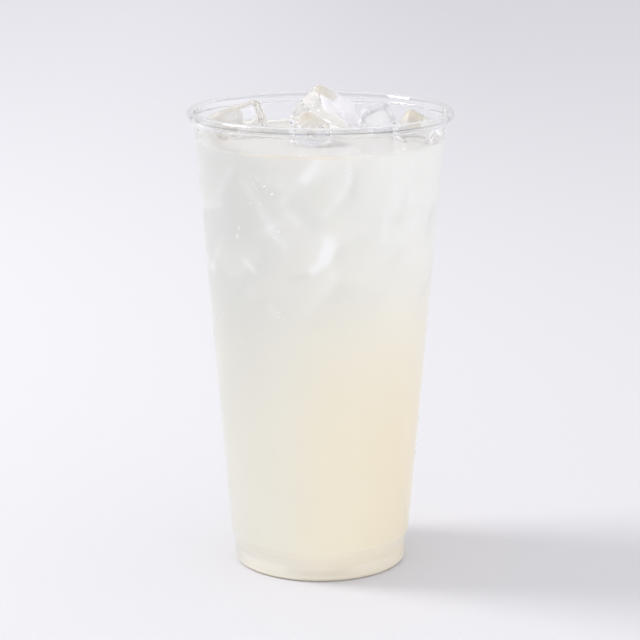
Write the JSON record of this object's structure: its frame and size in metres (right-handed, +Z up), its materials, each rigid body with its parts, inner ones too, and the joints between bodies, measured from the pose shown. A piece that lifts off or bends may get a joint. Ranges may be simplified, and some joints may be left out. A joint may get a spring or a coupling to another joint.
{
  "type": "cup of lemonade with ice",
  "caption": "Tall clear plastic cup with a curled rim and a stepped foot, full of cloudy pale lemonade, with ice cubes standing out of the top.",
  "frame": {"origin": "on the table, at the centre of the cup's foot", "axes": "+Z up along the cup's axis, -Y towards the front that the picture shows, +X to the right of that front"},
  "size_m": [0.095, 0.095, 0.1724],
  "materials": {
    "clear_plastic": "clear, glossy, thin formed plastic sheet",
    "cloudy_lemonade": "cloudy pale liquid, greyer at the top and creamier at the bottom",
    "clear_ice": "wet, clear ice with frosted cores"
  },
  "bodies": {
    "root": {"cup": "clear_plastic", "lemonade": "cloudy_lemonade", "ice_left": "clear_ice", "ice_centre": "clear_ice", "ice_front": "clear_ice", "ice_right": "clear_ice", "ice_far_right": "clear_ice"}
  },
  "joints": []
}
